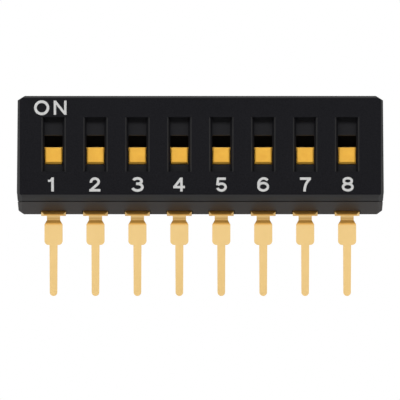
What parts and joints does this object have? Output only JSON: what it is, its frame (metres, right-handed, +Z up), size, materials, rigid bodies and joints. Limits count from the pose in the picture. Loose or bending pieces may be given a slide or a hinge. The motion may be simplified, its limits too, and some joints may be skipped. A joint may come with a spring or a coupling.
{
  "type": "side-actuated slide dip switch",
  "caption": "Upright slide DIP switch with a row of numbered sliders in its front face and two straight rows of board pins below.",
  "frame": {"origin": "midway between the two rows of pins and between the end switches, in the plane where the lead shoulders meet the board", "axes": "+X along the row from switch 1 to the last, -Y out of the face with the sliders, +Z up from the board; a slider moves up to ON"},
  "size_m": [0.0222, 0.0088, 0.0121],
  "materials": {
    "cover_plastic": "black glass-filled PBT, satin as moulded",
    "base_plastic": "black glass-filled PBT, satin as moulded",
    "slider_plastic": "yellow-orange moulded nylon, smooth",
    "contact_gold": "thin spring strip, gold plated",
    "lead_gold": "stamped copper-alloy strip, bright gold plating"
  },
  "bodies": {
    "housing": {"cover": "cover_plastic", "base": "base_plastic", "front_terminal_1": "lead_gold", "front_terminal_2": "lead_gold", "front_terminal_3": "lead_gold", "front_terminal_4": "lead_gold", "front_terminal_5": "lead_gold", "front_terminal_6": "lead_gold", "front_terminal_7": "lead_gold", "front_terminal_8": "lead_gold", "rear_terminal_1": "lead_gold", "rear_terminal_2": "lead_gold", "rear_terminal_3": "lead_gold", "rear_terminal_4": "lead_gold", "rear_terminal_5": "lead_gold", "rear_terminal_6": "lead_gold", "rear_terminal_7": "lead_gold", "rear_terminal_8": "lead_gold"},
    "slider_body_1": {"slider_1": "slider_plastic", "contact_1": "contact_gold"},
    "slider_body_2": {"slider_2": "slider_plastic", "contact_2": "contact_gold"},
    "slider_body_3": {"slider_3": "slider_plastic", "contact_3": "contact_gold"},
    "slider_body_4": {"slider_4": "slider_plastic", "contact_4": "contact_gold"},
    "slider_body_5": {"slider_5": "slider_plastic", "contact_5": "contact_gold"},
    "slider_body_6": {"slider_6": "slider_plastic", "contact_6": "contact_gold"},
    "slider_body_7": {"slider_7": "slider_plastic", "contact_7": "contact_gold"},
    "slider_body_8": {"slider_8": "slider_plastic", "contact_8": "contact_gold"}
  },
  "joints": [
    {"name": "slide_1", "type": "slide", "parent": "housing", "child": "slider_body_1", "axis": [0, 0, 1], "range_m": [0, 0.00067]},
    {"name": "slide_2", "type": "slide", "parent": "housing", "child": "slider_body_2", "axis": [0, 0, 1], "range_m": [0, 0.00067]},
    {"name": "slide_3", "type": "slide", "parent": "housing", "child": "slider_body_3", "axis": [0, 0, 1], "range_m": [0, 0.00067]},
    {"name": "slide_4", "type": "slide", "parent": "housing", "child": "slider_body_4", "axis": [0, 0, 1], "range_m": [0, 0.00067]},
    {"name": "slide_5", "type": "slide", "parent": "housing", "child": "slider_body_5", "axis": [0, 0, 1], "range_m": [0, 0.00067]},
    {"name": "slide_6", "type": "slide", "parent": "housing", "child": "slider_body_6", "axis": [0, 0, 1], "range_m": [0, 0.00067]},
    {"name": "slide_7", "type": "slide", "parent": "housing", "child": "slider_body_7", "axis": [0, 0, 1], "range_m": [0, 0.00067]},
    {"name": "slide_8", "type": "slide", "parent": "housing", "child": "slider_body_8", "axis": [0, 0, 1], "range_m": [0, 0.00067]}
  ]
}
